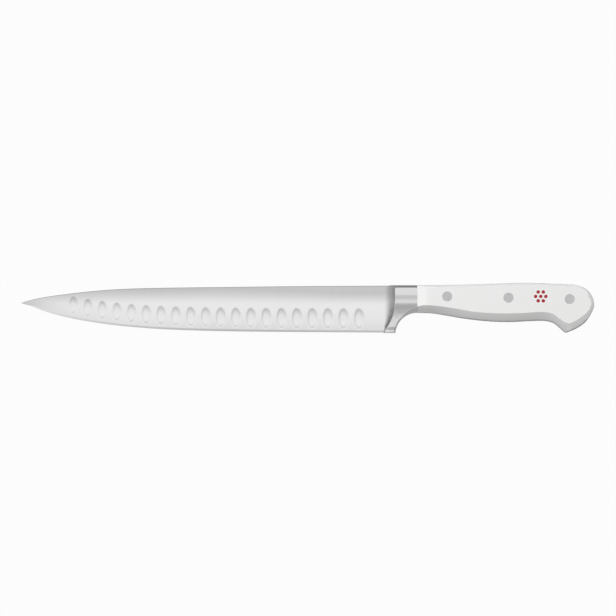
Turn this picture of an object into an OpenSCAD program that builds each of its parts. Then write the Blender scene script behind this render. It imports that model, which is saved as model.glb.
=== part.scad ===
// Slicing knife with a hollow-edge blade, a forged bolster and a riveted full-tang handle.
// It lies on its right side: tip towards -X, spine towards +Y, left side up.

/* [Blade] */
// Length of the blade from its tip to the bolster
blade_l = 230; // [200:1:260]
// Height of the spine at the heel, above the foot of the heel guard
spine_h = 29.6; // [28:0.1:29.8]
// Height of the tip above the foot of the heel guard
tip_h = 18.6; // [14:0.1:22]
// Thickness of the spine at the heel
spine_t = 2.3; // [1.8:0.1:3]
// Thickness just above the cutting bevel at the heel
edge_t = 0.5; // [0.45:0.05:0.8]
// Thickness that the flanks lose from the heel to the tip
taper_t = 0.46; // [0.1:0.02:0.5]
// Width of the cutting bevel
bevel_w = 1.2; // [0.8:0.1:2]
// Thickness left at the very edge
edge_flat_t = 0.06; // [0.02:0.01:0.1]

/* [Hollows] */
// Hollows ground into each side of the blade
hollow_n = 20; // [4:1:20]
// Width of a hollow at full depth
hollow_w = 6.5; // [4:0.1:7]
// Height of a hollow at full depth
hollow_h = 13.4; // [8:0.1:15]
// Depth of a hollow at the heel
hollow_depth = 0.35; // [0.1:0.05:0.4]
// Height of the hollows above the cutting edge
hollow_gap = 2.1; // [1.5:0.1:4]
// Distance from the tip to the first hollow
hollow_tip_gap = 32.9; // [25:0.1:60]
// Distance from the last hollow to the end of the blade
hollow_heel_gap = 19.5; // [14:0.1:40]

/* [Bolster] */
// Length of the bolster, from the end of the blade to the scales
bolster_l = 16.8; // [14:0.1:24]
// Thickness of the bolster at its crown
bolster_t = 14.6; // [12:0.1:16]
// Distance from the end of the blade to the crest of the flare
crest_gap = 2.7; // [1:0.1:3]
// Length of the hollow flare between blade and bolster
flare_l = 6.2; // [4:0.1:8]
// Radius of the finger grip behind the heel guard
finger_r = 13.1; // [11.5:0.1:13.5]
// Chamfer along the top of the bolster
bolster_chamfer = 1.3; // [0.5:0.1:2]

/* [Handle] */
// Length of the scales
handle_l = 110; // [95:1:125]
// Height of the handle's back above the foot of the heel guard
handle_h = 31.4; // [31.2:0.1:33]
// Thickness of the handle over both scales
handle_t = 17; // [15:0.1:20]
// Thickness of the tang between the scales
tang_t = 3.5; // [2.5:0.1:4.5]
// Width of the bevel along the belly of the scales
belly_bevel_w = 5.1; // [3:0.1:6]
// Width of the bevel along the back of the scales
back_bevel_w = 1.2; // [0.5:0.1:2]
// Length over which the scales roll down to the bolster
roll_l = 6.5; // [4:0.1:10]

/* [Rivets] */
// Diameter of a rivet head
rivet_head_d = 6; // [5:0.1:7]
// Height of a rivet head
rivet_head_l = 2.6; // [2:0.1:3.5]
// Outer diameter of the socket half of a rivet
rivet_socket_d = 4.2; // [3.6:0.1:4.8]
// Diameter of the pin half of a rivet
rivet_pin_d = 2.6; // [2:0.1:3]
// Clearance on the diameter of every rivet hole
rivet_fit = 0.1; // [0.02:0.02:0.2]
// Distance from the bolster to the front rivet
rivet_front_gap = 18.5; // [14:0.1:24]
// Distance from the rear rivet to the butt
rivet_butt_gap = 15.4; // [13:0.1:20]
// Drop of the front rivet below the handle's back
rivet_front_drop = 8.6; // [7:0.1:11]
// Drop of the rear rivet below the handle's back
rivet_rear_drop = 10.2; // [8:0.1:13]

/* [Inlay] */
// Diameter of the inlay disc in the left scale
inlay_d = 10.2; // [8:0.1:11]
// Thickness of the inlay disc
inlay_t = 1.6; // [1.2:0.1:2.5]
// Distance from the centre of the inlay to the rear rivet
inlay_gap = 18; // [15:0.1:22]
// Drop of the inlay below the handle's back
inlay_drop = 8.6; // [8:0.1:11]
// Dots in the ring of the inlay's rosette
dot_ring_n = 6; // [4:1:7]
// Diameter of a dot
dot_d = 2.2; // [1.2:0.1:2.4]
// Depth of a dot
dot_t = 0.8; // [0.4:0.1:1]

/* [Hidden] */

// Steps of a curve between two of its points, and facets of a round
curve_steps = 6;
round_fn = 96;
// Rings of the flare up the bolster, and steps along the arc of each
flare_rings = 24;
flare_steps = 10;
// Overrun of every cut
over = 1;

// The spine from tip to heel: shares of the blade's length, and of the rise from tip to heel
spine_shares = [
    [0, 0], [0.0135, 0.1], [0.054, 0.3], [0.108, 0.475], [0.19, 0.68], [0.271, 0.805],
    [0.379, 0.875], [0.565, 0.925], [0.76, 0.973], [1, 1]
];
// The cutting edge from tip to heel: shares of the blade's length, and of the tip's height
edge_shares = [
    [0, 1], [0.0296, 0.9], [0.062, 0.742], [0.108, 0.575], [0.163, 0.43], [0.217, 0.322],
    [0.271, 0.239], [0.325, 0.179], [0.379, 0.132], [0.487, 0.08], [0.65, 0.044],
    [0.84, 0.027], [1, 0.013]
];
// The belly of the handle from bolster to butt: shares of the handle's length and height,
// then the step in to the flat face, in shares of the belly bevel's width
belly_shares = [
    [0, 0.402, 0, 0.74], [0.083, 0.39, 0, 0.91], [0.158, 0.351, 0.08, 0.86],
    [0.234, 0.303, 0.1, 0.86], [0.31, 0.266, 0.09, 0.89], [0.385, 0.24, 0.06, 0.96],
    [0.46, 0.224, 0.02, 1.03], [0.535, 0.224, 0, 1.05], [0.611, 0.238, -0.04, 1.05],
    [0.686, 0.244, 0, 1.06], [0.732, 0.234, 0.02, 1.06], [0.77, 0.198, -0.02, 1.04],
    [0.8, 0.119, -0.01, 1.05], [0.822, 0.05, 0.08, 1.08], [0.837, 0.01, 0.18, 1.12],
    [0.853, 0.02, 0.22, 1.05], [0.898, 0.085, -0.1, 0.96], [0.944, 0.192, -0.24, 0.86],
    [0.974, 0.322, -0.33, 0.57], [0.996, 0.481, -0.39, 0.24]
];
// The back of the handle from butt to bolster, with the step in shares of the back bevel's width
back_shares = [
    [1, 0.589, -1.4, 0.33], [0.992, 0.72, -1.1, -0.25], [0.974, 0.831, -0.83, -0.58],
    [0.944, 0.911, -0.58, -0.83], [0.905, 0.957, -0.33, -0.92], [0.86, 0.972, -0.17, -0.92],
    [0.763, 0.987, 0, -1], [0.65, 1, 0, -1], [0.56, 1, 0, -1], [0.458, 0.99, 0, -1],
    [0.385, 0.981, 0, -1], [0.31, 0.972, 0, -1], [0.158, 0.963, 0, -1],
    [0.083, 0.959, 0, -1], [0, 0.955, 0, -1.08]
];
// Drop of a scale's bevel for each length of its width
bevel_drop_share = 0.85;
// Bulge of a scale's bevel at its middle, as a share of its drop
bevel_bulge_share = 0.06;
// Run of a scale's bevel past the flat face before it is cut, as a share of its width
bevel_run_share = 0.2;
// Angle at which the front roll leaves the flat face of a scale
roll_start = 2;
// Side of the bolster from the guard's foot up: shares of its height and of its half thickness
crown_shares = [
    [0, 0.22], [0.04, 0.29], [0.063, 0.32], [0.127, 0.464], [0.18, 0.536], [0.25, 0.634],
    [0.32, 0.729], [0.38, 0.799], [0.44, 0.856], [0.5, 0.906], [0.55, 0.934], [0.6, 0.954],
    [0.64, 0.964], [0.69, 0.969], [0.73, 0.976], [0.78, 0.987], [0.82, 0.992], [0.94, 1], [1, 1]
];
// Crest of the flare from the guard's foot up: shares of the bolster's height and of the
// flare's length
crest_shares = [
    [0, 0.1], [0.103, 0.25], [0.187, 0.47], [0.27, 0.64], [0.353, 0.78], [0.433, 0.87],
    [0.52, 0.93], [0.6, 0.97], [0.7, 1], [1, 1]
];
// Depth of the flare's root under the flank, as a share of the thickness behind the edge
flare_sink_share = 0.1;
// Depth that the first hollow lacks, and the tightening of the pitch towards the tip
hollow_loss_share = 0.32;
hollow_pitch_share = 0.043;
// Radius of the ring of dots, as a share of the inlay's diameter
dot_ring_share = 0.31;

// Places along the knife, from the tip, and up from the foot of the heel guard
scale_u = blade_l + bolster_l;
total_l = scale_u + handle_l;
crest_u = blade_l + crest_gap;
bolster_h = back_shares[len(back_shares) - 1][1] * handle_h;
finger_v = belly_shares[0][1] * handle_h - finger_r;
flare_u = crest_u - flare_l;
flare_sink = flare_sink_share * edge_t;

// Rise of a flank from edge to spine and from tip to heel
flank_rise = (spine_t - edge_t) / 2 / (spine_h - bevel_w);
flank_run = taper_t / 2 / blade_l;
flank_turn = -atan(flank_run);
flank_lean = atan(flank_rise * cos(flank_turn));

// Places of the rivets and the inlay
rivet_us = [
    scale_u + rivet_front_gap,
    (scale_u + rivet_front_gap + total_l - rivet_butt_gap) / 2,
    total_l - rivet_butt_gap
];
rivet_vs = [
    handle_h - rivet_front_drop,
    handle_h - (rivet_front_drop + rivet_rear_drop) / 2,
    handle_h - rivet_rear_drop
];
inlay_u = rivet_us[2] - inlay_gap;
inlay_v = handle_h - inlay_drop;
seat_w = handle_t / 2 - rivet_head_l;

// One point of a curve through four points, between the second and the third
function curve_point(a, b, c, d, t) =
    (2 * b + (c - a) * t + (2 * a - 5 * b + 4 * c - d) * t * t
    + (3 * b - a - 3 * c + d) * t * t * t) / 2;

// An open curve through a list of points
function curve(pts) = [
    for (i = [0 : len(pts) - 2])
        for (k = [0 : curve_steps - 1])
            curve_point(
                pts[max(i - 1, 0)], pts[i], pts[i + 1], pts[min(i + 2, len(pts) - 1)],
                k / curve_steps
            ),
    pts[len(pts) - 1]
];

function spine_line() = curve([
    for (s = spine_shares) [s[0] * blade_l, tip_h + s[1] * (spine_h - tip_h)]
]);

function edge_line() = curve([for (s = edge_shares) [s[0] * blade_l, s[1] * tip_h]]);

// Height and half thickness up the side of the bolster
function crown_line() = curve([for (s = crown_shares) [s[0] * bolster_h, s[1] * bolster_t / 2]]);

// Height, and length of the flare at that height
function crest_line() = curve([for (s = crest_shares) [s[0] * bolster_h, s[1] * flare_l]]);

function handle_point(s, step) =
    [scale_u + s[0] * handle_l, s[1] * handle_h, s[2] * step, s[3] * step];

// Handle outline, each point with its step in to the flat face
function handle_line() = curve(concat(
    [for (s = belly_shares) handle_point(s, belly_bevel_w)],
    [for (s = back_shares) handle_point(s, back_bevel_w)]
));

// Half thickness of the blade at a place on its flank
function flank_w(u, v) =
    edge_t / 2 + flank_rise * (v - bevel_w) - flank_run * (blade_l - u);

// Height of the cutting edge at a distance from the tip
function edge_v(u) = lookup(u, edge_line());

// Unit vector across an edge, from the edge towards the spine
function across(line, i) =
    let (step = line[min(i + 1, len(line) - 1)] - line[max(i - 1, 0)])
    [-step[1], step[0]] / norm(step);

// A closed skin over rings of points, each ring with the same number of points
module skin(rings) {
    n = len(rings[0]);
    last = len(rings) - 1;
    polyhedron(
        points = [for (ring = rings) each ring],
        faces = concat(
            [[for (k = [0 : n - 1]) k]],
            [for (i = [0 : last - 1]) for (k = [0 : n - 1])
                [i * n + k, (i + 1) * n + k, (i + 1) * n + (k + 1) % n]],
            [for (i = [0 : last - 1]) for (k = [0 : n - 1])
                [i * n + k, (i + 1) * n + (k + 1) % n, i * n + (k + 1) % n]],
            [[for (k = [n - 1 : -1 : 0]) last * n + k]]
        ),
        convexity = 6
    );
}

// Moves the knife from its own frame, at the tip and the guard's foot, to where it lies
module lay_down() {
    translate([-total_l / 2, -handle_h / 2, handle_t / 2])
        children();
}

// The same shape on both sides of the knife
module both_sides() {
    children();
    mirror([0, 0, 1])
        children();
}

// All that lies below the left flank of the blade
module under_flank() {
    translate([blade_l, bevel_w, edge_t / 2])
        rotate([flank_lean, flank_turn, 0])
            translate([-2 * blade_l, -spine_h, -spine_h])
                cube([3 * blade_l, 3 * spine_h, spine_h]);
}

// What the cutting bevel takes off the left side
module bevel_cut() {
    line = edge_line();
    ends = len(line) - 1;
    skin([
        for (i = [0 : ends])
            let (
                n = across(line, i),
                run = (i == 0 ? -1 : i == ends ? 1 : 0) * over * [n[1], -n[0]],
                foot = line[i] + run,
                top = line[i] + n * bevel_w,
                slope = (flank_w(top[0], top[1]) - edge_flat_t / 2) / bevel_w,
                out = foot - n * over,
                in = foot + n * (bevel_w + over),
                low_w = edge_flat_t / 2 - slope * over,
                high_w = edge_flat_t / 2 + slope * (bevel_w + over)
            )
            [[out[0], out[1], low_w], [in[0], in[1], high_w], [out[0], out[1], high_w]]
    ]);
}

// One hollow: a slice of the rim of a grinding wheel, laid on the left flank
module hollow_cut(u, v, depth) {
    wheel_r = (hollow_h * hollow_h / 4 + hollow_depth * hollow_depth) / (2 * hollow_depth);
    rim_r = (hollow_w * hollow_w / 4 + hollow_depth * hollow_depth) / (2 * hollow_depth);
    lift = hollow_depth / 2;
    reach = acos((wheel_r - depth - lift) / wheel_r);
    translate([u, v, flank_w(u, v)])
        rotate([flank_lean, flank_turn, 0])
            translate([0, 0, wheel_r - depth])
                rotate([0, 90, 0])
                    rotate([0, 0, -reach])
                        rotate_extrude(angle = 2 * reach, $fn = 360)
                            translate([wheel_r - rim_r, 0])
                                intersection() {
                                    circle(r = rim_r, $fn = round_fn);
                                    translate([rim_r - depth - lift, -rim_r])
                                        square([rim_r, 2 * rim_r]);
                                }
}

// The row of hollows on the left side, moved along the blade by a share of their pitch
module hollow_row(offset_share) {
    span = blade_l - hollow_tip_gap - hollow_heel_gap;
    pitch = span / (hollow_n - 1);
    for (i = [0 : hollow_n - 1]) {
        t = i / (hollow_n - 1);
        depth = hollow_depth * (1 - hollow_loss_share * (1 - t) * (1 - t));
        u = hollow_tip_gap + span * (t - hollow_pitch_share * t * (1 - t)) + offset_share * pitch;
        v = edge_v(u) + hollow_gap + hollow_h / 2;
        hollow_cut(u, v, depth);
    }
}

// The ground blade, run on into the bolster
module ground_blade() {
    spine = spine_line();
    edge = edge_line();
    difference() {
        intersection() {
            translate([0, 0, -spine_t])
                linear_extrude(2 * spine_t)
                    polygon(concat(
                        edge,
                        [[crest_u, edge[len(edge) - 1][1]], [crest_u, spine_h]],
                        [for (i = [len(spine) - 1 : -1 : 1]) spine[i]]
                    ));
            under_flank();
            mirror([0, 0, 1])
                under_flank();
        }
        both_sides()
            bevel_cut();
        hollow_row(0);
        mirror([0, 0, 1])
            hollow_row(-1 / 2);
    }
}

// What the flare leaves free on the left: an arc at each height, from the blade's flank to the crest
module flare_cut() {
    crown = crown_line();
    crest = crest_line();
    skin([
        for (i = [0 : flare_rings])
            let (
                v = (bolster_h + 2 * over) * i / flare_rings - over,
                root_w = flank_w(flare_u, v) - flare_sink,
                rise = lookup(v, crown) + flare_sink - root_w,
                run = lookup(v, crest)
            )
            [
                [flare_u - over, v, bolster_t],
                [flare_u + run, v, bolster_t],
                for (k = [flare_steps : -1 : 0])
                    let (turn = 90 * k / flare_steps)
                    [flare_u + run * sin(turn), v, root_w + rise * (1 - cos(turn))],
                [flare_u - over, v, root_w]
            ]
    ]);
}

// What the rise from the spine to the top of the bolster leaves free
module rise_cut() {
    low_v = spine_h - flare_sink / 2;
    slope = (bolster_h - low_v) / flare_l;
    translate([0, 0, -bolster_t])
        linear_extrude(2 * bolster_t)
            polygon([
                [flare_u - over, low_v - slope * over],
                [crest_u + over, bolster_h + slope * over],
                [flare_u - over, bolster_h + slope * over]
            ]);
}

// Cross-section of the bolster, up the knife and through it
module bolster_section() {
    crown = crown_line();
    chamfer_w = bolster_t / 2;
    intersection() {
        polygon(concat(
            [for (p = crown) [p[0], -p[1]]],
            [for (i = [len(crown) - 1 : -1 : 0]) crown[i]]
        ));
        polygon([
            [-over, -bolster_t], [bolster_h - bolster_chamfer - chamfer_w, -bolster_t],
            [bolster_h + over, bolster_chamfer - chamfer_w + over],
            [bolster_h + over, chamfer_w - bolster_chamfer - over],
            [bolster_h - bolster_chamfer - chamfer_w, bolster_t], [-over, bolster_t]
        ]);
    }
}

// The belly bevel of the scales carried on round the finger grip
module finger_bevel_cut() {
    width = belly_shares[0][3] * belly_bevel_w;
    side_w = handle_t / 2 - bevel_drop_share * width;
    rotate_extrude($fn = 360)
        polygon([
            [finger_r - over, side_w - bevel_drop_share * over],
            [finger_r + width + over, handle_t / 2 + bevel_drop_share * over],
            [finger_r - over, handle_t / 2 + bevel_drop_share * over]
        ]);
}

module bolster() {
    difference() {
        translate([flare_u, 0, 0])
            rotate([90, 0, 90])
                linear_extrude(scale_u - flare_u)
                    bolster_section();
        both_sides()
            flare_cut();
        rise_cut();
        translate([scale_u, finger_v, 0]) {
            cylinder(r = finger_r, h = 2 * bolster_t, center = true, $fn = 360);
            both_sides()
                finger_bevel_cut();
        }
    }
}

module tang() {
    root_l = bolster_l / 3;
    root_v = finger_v + finger_r + root_l;
    translate([0, 0, -tang_t / 2])
        linear_extrude(tang_t) {
            polygon([for (p = handle_line()) [p[0], p[1]]]);
            translate([scale_u - root_l, root_v])
                square([root_l + over, bolster_h - bolster_chamfer - root_v]);
        }
}

module blade() {
    color([0.8, 0.81, 0.82])
        lay_down()
            difference() {
                union() {
                    ground_blade();
                    bolster();
                    tang();
                }
                for (i = [0 : 2])
                    translate([rivet_us[i], rivet_vs[i], 0])
                        cylinder(
                            d = rivet_socket_d + rivet_fit, h = 2 * tang_t,
                            center = true, $fn = round_fn
                        );
            }
}

// A scale's outline at a share of the way in to its flat face
function scale_ring(share, w) = [for (p = handle_line()) [p[0] + share * p[2], p[1] + share * p[3], w]];

// A ring of the bevel, level by the drop at each point
function bevel_ring(share) = [
    for (p = handle_line())
        let (
            drop = bevel_drop_share * norm([p[2], p[3]]),
            bulge = 4 * share * (1 - share) * bevel_bulge_share
        )
        [
            p[0] + share * p[2], p[1] + share * p[3],
            handle_t / 2 - drop * (1 - share - bulge)
        ]
];

// Left scale before it is bored: its outer skin, run past the flat faces and cut to them
module scale_blank() {
    intersection() {
        skin([
            scale_ring(0, tang_t / 2 - over), bevel_ring(0), bevel_ring(1 / 2), bevel_ring(1),
            bevel_ring(1 + bevel_run_share)
        ]);
        translate([scale_u, -over, 0])
            rotate([90, 0, 0])
                mirror([0, 0, 1])
                    linear_extrude(handle_h + 2 * over)
                        scale_section();
    }
}

// Section of the left scale, along the knife and up through it: flat from the tang's face
// to the outer face, with an arc at its front that falls to the bolster's side
module scale_section() {
    roll_drop = (handle_t - bolster_t) / 2;
    fall = atan(roll_drop / roll_l) - roll_start;
    roll_r = norm([roll_l, roll_drop]) / (2 * sin(fall));
    translate([roll_l, tang_t / 2])
        square([handle_l - roll_l + over, (handle_t - tang_t) / 2]);
    intersection() {
        translate([-over, tang_t / 2])
            square([roll_l + over, (handle_t - tang_t) / 2]);
        translate([roll_l + roll_r * sin(roll_start), handle_t / 2 - roll_r * cos(roll_start)])
            circle(r = roll_r, $fn = 360);
    }
}

// Holes that a rivet needs in the left scale
module rivet_bore() {
    cylinder(d = rivet_socket_d + rivet_fit, h = handle_t, $fn = round_fn);
    translate([0, 0, seat_w])
        cylinder(d = rivet_head_d + rivet_fit, h = handle_t, $fn = round_fn);
}

module scale() {
    difference() {
        scale_blank();
        for (i = [0 : 2])
            translate([rivet_us[i], rivet_vs[i], 0])
                rivet_bore();
    }
}

module left_scale() {
    color([0.93, 0.93, 0.92])
        lay_down()
            difference() {
                scale();
                translate([inlay_u, inlay_v, handle_t / 2 - inlay_t])
                    cylinder(d = inlay_d, h = handle_t, $fn = round_fn);
            }
}

module right_scale() {
    color([0.93, 0.93, 0.92])
        lay_down()
            mirror([0, 0, 1])
                scale();
}

// Half of a rivet with a hollow shank, its head in the left scale
module rivet_socket(i) {
    shank_l = 2 * seat_w - rivet_head_l / 2;
    color([0.7, 0.71, 0.72])
        lay_down()
            translate([rivet_us[i], rivet_vs[i], seat_w])
                difference() {
                    union() {
                        cylinder(d = rivet_head_d, h = rivet_head_l, $fn = round_fn);
                        translate([0, 0, -shank_l])
                            cylinder(d = rivet_socket_d, h = shank_l + over, $fn = round_fn);
                    }
                    translate([0, 0, -shank_l - over])
                        cylinder(d = rivet_pin_d, h = shank_l + over, $fn = round_fn);
                }
}

// Half of a rivet with a solid shank, its head in the right scale
module rivet_pin(i) {
    pin_l = 2 * seat_w - rivet_head_l / 2;
    color([0.7, 0.71, 0.72])
        lay_down()
            translate([rivet_us[i], rivet_vs[i], -handle_t / 2]) {
                cylinder(d = rivet_head_d, h = rivet_head_l, $fn = round_fn);
                cylinder(d = rivet_pin_d, h = rivet_head_l + pin_l, $fn = round_fn);
            }
}

// The rosette: one dot in the middle and a ring of dots round it
module dots(depth, height) {
    translate([inlay_u, inlay_v, handle_t / 2 - depth]) {
        cylinder(d = dot_d, h = height, $fn = round_fn);
        for (i = [0 : dot_ring_n - 1])
            rotate([0, 0, i * 360 / dot_ring_n])
                translate([dot_ring_share * inlay_d, 0, 0])
                    cylinder(d = dot_d, h = height, $fn = round_fn);
    }
}

module inlay_disc() {
    color([0.95, 0.95, 0.94])
        lay_down()
            difference() {
                translate([inlay_u, inlay_v, handle_t / 2 - inlay_t])
                    cylinder(d = inlay_d, h = inlay_t, $fn = round_fn);
                dots(dot_t, 2 * dot_t);
            }
}

module inlay_dots() {
    color([0.78, 0.15, 0.14])
        lay_down()
            dots(dot_t, dot_t);
}

blade();
left_scale();
right_scale();
rivet_socket(0);  // front_rivet_socket
rivet_pin(0);  // front_rivet_pin
rivet_socket(1);  // middle_rivet_socket
rivet_pin(1);  // middle_rivet_pin
rivet_socket(2);  // rear_rivet_socket
rivet_pin(2);  // rear_rivet_pin
inlay_disc();
inlay_dots();
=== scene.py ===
"""Slicing knife with a hollow-edge blade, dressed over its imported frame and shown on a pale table."""
import math

import bpy
from bpy.props import FloatProperty, FloatVectorProperty, IntProperty, PointerProperty
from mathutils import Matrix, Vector


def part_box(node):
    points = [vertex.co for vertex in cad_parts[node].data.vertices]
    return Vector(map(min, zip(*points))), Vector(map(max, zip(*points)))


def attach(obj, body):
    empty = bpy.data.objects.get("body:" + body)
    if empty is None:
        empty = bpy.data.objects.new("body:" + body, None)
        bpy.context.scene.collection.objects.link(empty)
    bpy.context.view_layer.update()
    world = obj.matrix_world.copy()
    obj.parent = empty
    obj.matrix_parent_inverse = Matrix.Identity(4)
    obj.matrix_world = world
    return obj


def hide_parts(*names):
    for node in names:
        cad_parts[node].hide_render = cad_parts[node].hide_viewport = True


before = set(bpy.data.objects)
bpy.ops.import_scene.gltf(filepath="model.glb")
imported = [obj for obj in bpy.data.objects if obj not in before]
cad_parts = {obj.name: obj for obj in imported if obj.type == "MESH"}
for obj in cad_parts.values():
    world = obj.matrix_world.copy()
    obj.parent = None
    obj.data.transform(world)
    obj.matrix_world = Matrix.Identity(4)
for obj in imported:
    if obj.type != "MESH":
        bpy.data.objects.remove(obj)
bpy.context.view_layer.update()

bl_info = {
    "name": "Hollow-edge slicing knife",
    "version": (1, 0, 0),
    "blender": (4, 5, 0),
    "location": "View3D > Sidebar > Knife",
    "description": "Builds the blade, handle and studio of a slicing knife around its frame",
    "category": "Object",
}

MM = 0.001
BODY = "root"
# Points closer than this are merged
MERGE = 0.002 * MM

# Places that the frame gives
TIP_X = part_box("blade")[0].x
BUTT_X = -TIP_X
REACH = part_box("blade")[1].x - TIP_X
SCALE_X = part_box("left_scale")[0].x
FACE_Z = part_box("left_scale")[1].z
TANG_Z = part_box("left_scale")[0].z
MID_Z = FACE_Z / 2
FOOT_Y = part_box("blade")[0].y
SIDE_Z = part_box("blade")[1].z

# Sizes of the blade, in metres, back from the tip and up from the foot of the heel guard
BLADE_L = 230 * MM
SPINE_H = 29.45 * MM
TIP_H = 18.6 * MM
SPINE_T = 2.5 * MM
EDGE_T = 0.5 * MM
TAPER_T = 0.46 * MM
BEVEL_W = 1.2 * MM
EDGE_FLAT_T = 0.06 * MM
NARROW_H = 6 * MM
LEAST_H = 0.01 * MM
SPINE_FALL = 0.8

# How the grind changes on its way from tip to heel: where each change starts, and over what length
TIP_THIN_SHARE, TIP_THIN_POWER, TIP_THIN_L = 1.4, 1.2, 10 * MM
SHOULDER_U, SHOULDER_L = 12 * MM, 100 * MM
BELLY_U, BELLY_L, BELLY_RISE = 20 * MM, 100 * MM, 0.5
HEEL_U, HEEL_L = 110 * MM, 90 * MM
# What the shoulder gains towards the heel, in share, in straight run and in width
HEEL_SHARE, HEEL_STRAIGHT, HEEL_WIDTH = 0.06, 0.36, 0.04

# The hollows, and how their rows run from tip to heel
HOLLOW_W = 6.5 * MM
HOLLOW_H = 12.9 * MM
HOLLOW_GAP = 2.1 * MM
HOLLOW_TIP_GAP = 33 * MM
HOLLOW_HEEL_GAP = 19.2 * MM
HOLLOW_LOSS = 0.32
HOLLOW_POWER = 3
HOLLOW_PITCH = 0.043
HOLLOW_LEAN = 0.1
HOLLOW_REACH = 1.2
HOLLOW_RIM = 0.006 * MM
HOLLOW_RIM_REACH = 0.05 * MM

# The bolster: its flare, its finger grip and its rounded edges
CREST_GAP = 2.7 * MM
FLARE_L = 6.8 * MM
FLARE_STEEP = 0.985
FLARE_FILLET = 0.25 * MM
GUARD_L = 1 * MM
BOLSTER_RISE_GAP, BOLSTER_RISE_L = 2.2 * MM, 3 * MM
BOLSTER_CHAMFER = 1.5 * MM
FINGER_R = 13.5 * MM
FINGER_BEVEL_W, FINGER_BEVEL_RISE = 2.5 * MM, 0.2
CROWN_ROUND = 0.05 * MM
TOP_ROUND = 0.25 * MM
FOOT_ROUND = 0.3 * MM
GRIP_ROUND = 1.4 * MM

# The handle: its bevels, their slope along it, and the roll down to the bolster
HANDLE_H = 31.4 * MM
BELLY_BEVEL_W = 5.3 * MM
BACK_BEVEL_W = 1.2 * MM
ROLL_L = 6.5 * MM
BEVEL_DROP = 0.9
BEVEL_BULGE = 0.015
FRONT_STEEP, FRONT_L = 0.3, 20 * MM
BUTT_EASE, BUTT_L = 0.3, 3 * MM
BEAK_SHARE = 0.835
WALL_LEAN = 0.08
NICK = 0.05 * MM
# The most that a rounding takes of the bevel's width, or of the wall's height
EDGE_ROUND_SHARE, CREASE_ROUND_SHARE, WALL_ROUND_SHARE = 0.25, 0.3, 0.85
TANG_GAP = 0.01 * MM
ROLL_START = math.radians(2)
ROLL_OVER = 0.4 * MM
CLEAR = 5 * MM

# The rivets' holes
HEAD_L = 2.6 * MM
SHANK_R = 2.1 * MM
FIT = 0.05 * MM
DRILL_SIDES = 72

# How close the blade's mesh is: columns along it, rows up it in millimetres from each outline
TIP_COLUMNS, TIP_COLUMN_L = 9, 0.028 * MM
BLADE_COLUMN_L, FLARE_COLUMN_L = 0.45 * MM, 0.24 * MM
FLARE_AHEAD, GRIP_AHEAD = 10 * MM, 0.35 * MM
GRIP_COLUMNS = 40
LOW_ROWS = (0, 0.06, 0.15, 0.3, 0.6, 0.9, 1.14, 1.2, 1.26, 1.6)
HIGH_ROWS = (1.9, 1.5, 1.3, 1.1, 0.7, 0.4, 0.25, 0.12, 0.05, 0.015, 0)
MIDDLE_ROWS = 60
# Points to a curve's span, and round a scale
SIDE_STEPS, BOLSTER_STEPS, HANDLE_STEPS, FRONT_STEPS = 12, 8, 9, 12
EDGE_STEPS, BEVEL_STEPS, CREASE_STEPS, ROLL_STEPS = 7, 6, 5, 30

# Finishes, and the painted highlight on the scales' front roll: where one fades into the next, and how deep
# their relief is
POLISH_LOW_U, POLISH_HIGH_U = BLADE_L - 3 * MM, BLADE_L + 1 * MM
GUARD_LOW_V, GUARD_HIGH_V = 12 * MM, 16 * MM
WAVES_LOW_GAP, WAVES_HIGH_GAP = 2 * MM, 1 * MM
GRIP_LOW_GAP, GRIP_HIGH_GAP = 0.2 * MM, 0.9 * MM
# Painted highlight: how far back from the bolster the scales' colour is painted paler, where the front roll
# catches the light
ROLL_HIGHLIGHT_LOW_GAP, ROLL_HIGHLIGHT_HIGH_GAP = 4 * MM, 9 * MM
WAVE_HEIGHT = 36
FINE_RELIEF, RIVET_RELIEF = 0.004 * MM, 0.01 * MM

# The camera's view across the knife, the floor and the light
VIEW_W, SENSOR_W = 383.46 * MM, 36
VIEW_X, VIEW_Y = 0.5 * MM, -0.1 * MM
FLOOR_W, FLOOR_Z, FLOOR_GREY = 4, -0.02 * MM, 0.2
FLOOR_WHITE, FLOOR_MIRRORED = 0.97, 0.4
SKY_LOW = 0.2
KEY_FROM = Vector((-0.22, 0.3, 0.92)).normalized()
KEY_AWAY, KEY_W = 1.6, 0.9

# The spine from tip to heel: shares of the blade's length, and of the rise from tip to heel
SPINE_SHARES = [
    (0, 0), (0.0135, 0.1), (0.054, 0.3), (0.108, 0.475), (0.19, 0.68), (0.271, 0.805),
    (0.379, 0.875), (0.565, 0.925), (0.76, 0.973), (1, 1),
]
# The cutting edge from tip to heel: shares of the blade's length, and of the tip's height
EDGE_SHARES = [
    (0, 1), (0.0296, 0.9), (0.062, 0.742), (0.108, 0.575), (0.163, 0.43), (0.217, 0.322),
    (0.271, 0.239), (0.325, 0.179), (0.379, 0.132), (0.487, 0.08), (0.65, 0.044),
    (0.84, 0.027), (1, 0.013),
]
# Side of the bolster from the guard's foot up: shares of its height and of its half thickness
CROWN_SHARES = [
    (0, 0.22), (0.04, 0.29), (0.063, 0.32), (0.127, 0.464), (0.18, 0.536), (0.25, 0.634), (0.32, 0.729),
    (0.38, 0.799), (0.44, 0.856), (0.5, 0.906), (0.55, 0.934), (0.591, 0.952), (0.627, 0.9625),
    (0.69, 0.969), (0.73, 0.976), (0.78, 0.987), (0.82, 0.992), (0.957, 1), (1.1, 1.01),
]
# Crest of the flare from the guard's foot up: shares of the bolster's height and the flare's length
CREST_SHARES = [
    (0, 0.1), (0.103, 0.25), (0.187, 0.47), (0.27, 0.64), (0.353, 0.78), (0.433, 0.87),
    (0.52, 0.93), (0.6, 0.97), (0.7, 1), (1.1, 1),
]
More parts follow.
